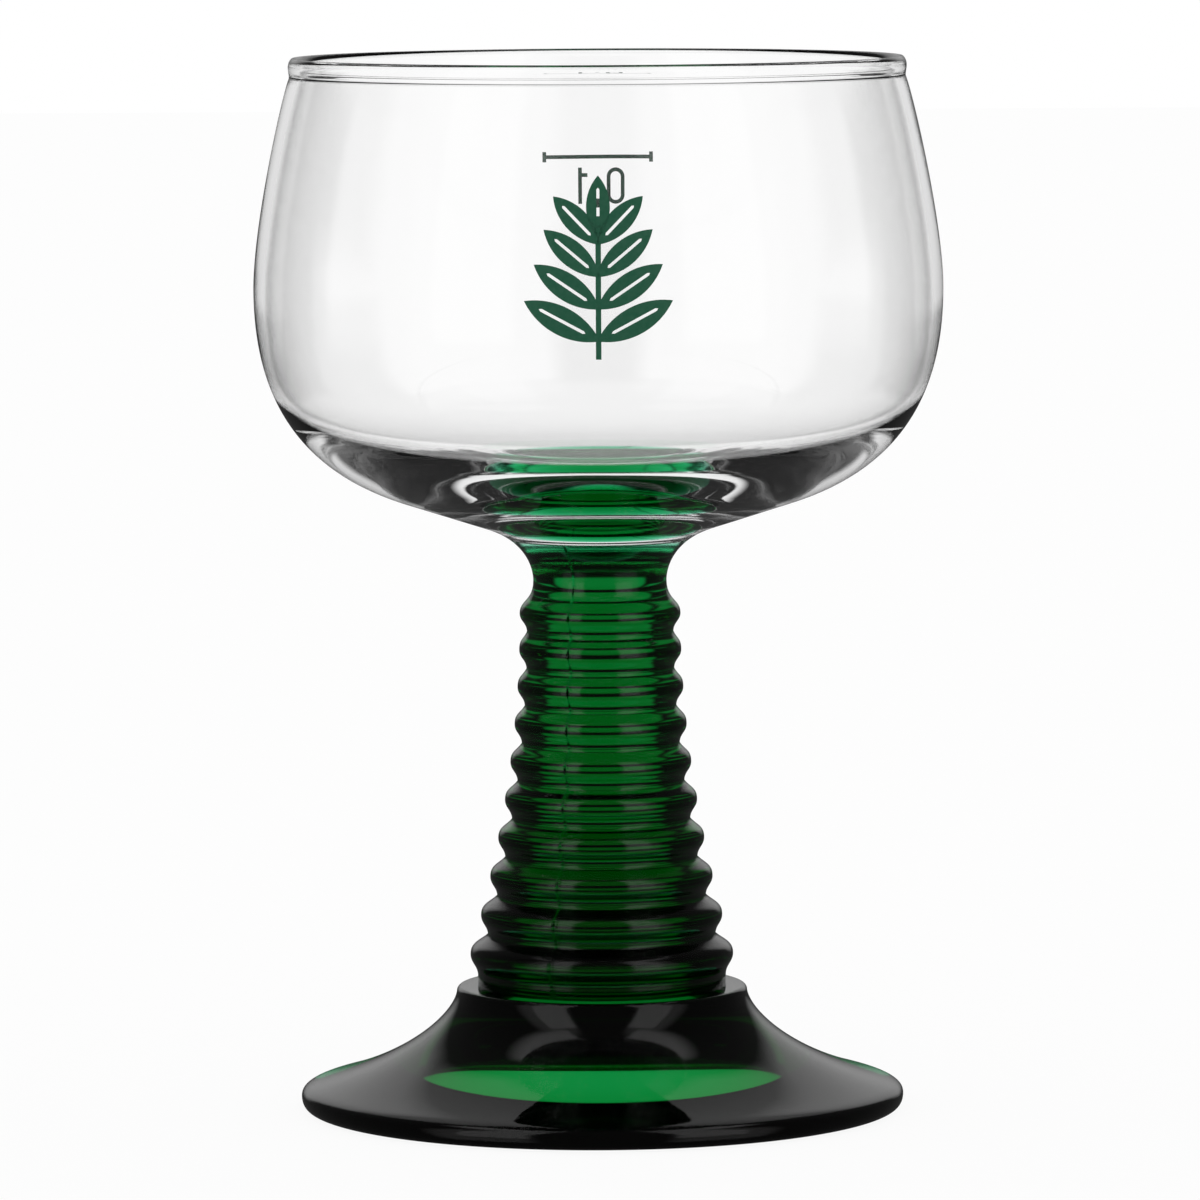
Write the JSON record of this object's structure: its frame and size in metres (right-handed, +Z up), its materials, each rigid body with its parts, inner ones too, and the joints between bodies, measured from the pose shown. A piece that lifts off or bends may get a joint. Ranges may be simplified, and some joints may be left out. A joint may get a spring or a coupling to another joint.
{
  "type": "wine roemer glass",
  "caption": "Stemmed wine glass with a clear rounded bowl, a green stem of stacked rings and a spreading green foot; a leaf sprig and a fill line are printed on the bowl.",
  "frame": {"origin": "centre of the base, on the plane that the foot stands on", "axes": "+Z up along the glass's axis, -Y to the front with the sprig, +X to the right seen from the front"},
  "size_m": [0.0696, 0.0697, 0.1066],
  "materials": {
    "clear_glass": "fire-polished clear glass",
    "green_glass": "glossy pressed dark green glass",
    "enamel": "opaque dark green fired enamel"
  },
  "bodies": {
    "root": {"bowl": "clear_glass", "stem": "green_glass", "foot": "green_glass", "front_sprig": "enamel", "fill_line": "enamel", "figure_nought": "enamel", "figure_comma": "enamel", "figure_one": "enamel"}
  },
  "joints": []
}
